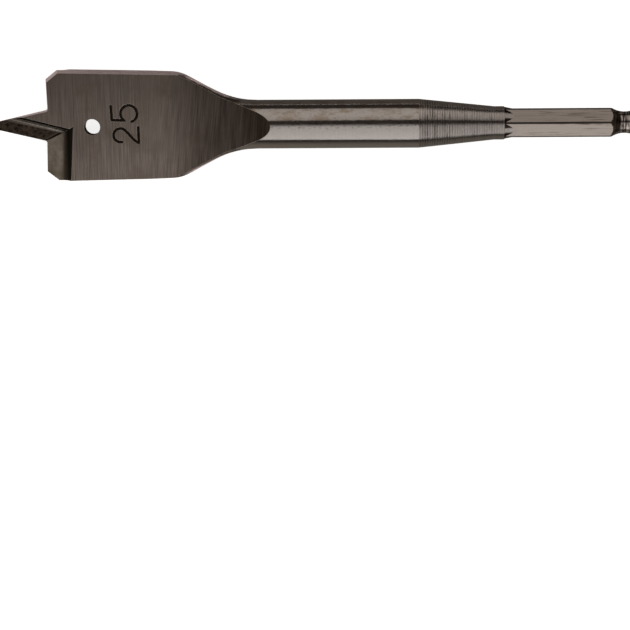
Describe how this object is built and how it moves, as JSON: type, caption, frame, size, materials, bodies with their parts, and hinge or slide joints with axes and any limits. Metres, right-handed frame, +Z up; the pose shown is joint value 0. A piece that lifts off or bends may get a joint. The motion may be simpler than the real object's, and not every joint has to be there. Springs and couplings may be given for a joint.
{
  "type": "spade drill bit",
  "caption": "Spade drill bit in one forged and ground piece: flat blade with centre point, cutting lips and a small hole, round shaft, turned cone and hexagon shank with retaining groove.",
  "frame": {"origin": "on the ground plane under the bit's axis, at the middle of its length, as it lies", "axes": "+X along the bit's axis from the tip to the shank, +Z up; the bit lies on its round shaft and one lower edge of the blade, so the blade leans"},
  "size_m": [0.156, 0.0242, 0.0109],
  "materials": {
    "tool_steel": "ground and turned tool steel, dark brownish grey"
  },
  "bodies": {
    "root": {"spade_bit": "tool_steel"}
  },
  "joints": []
}
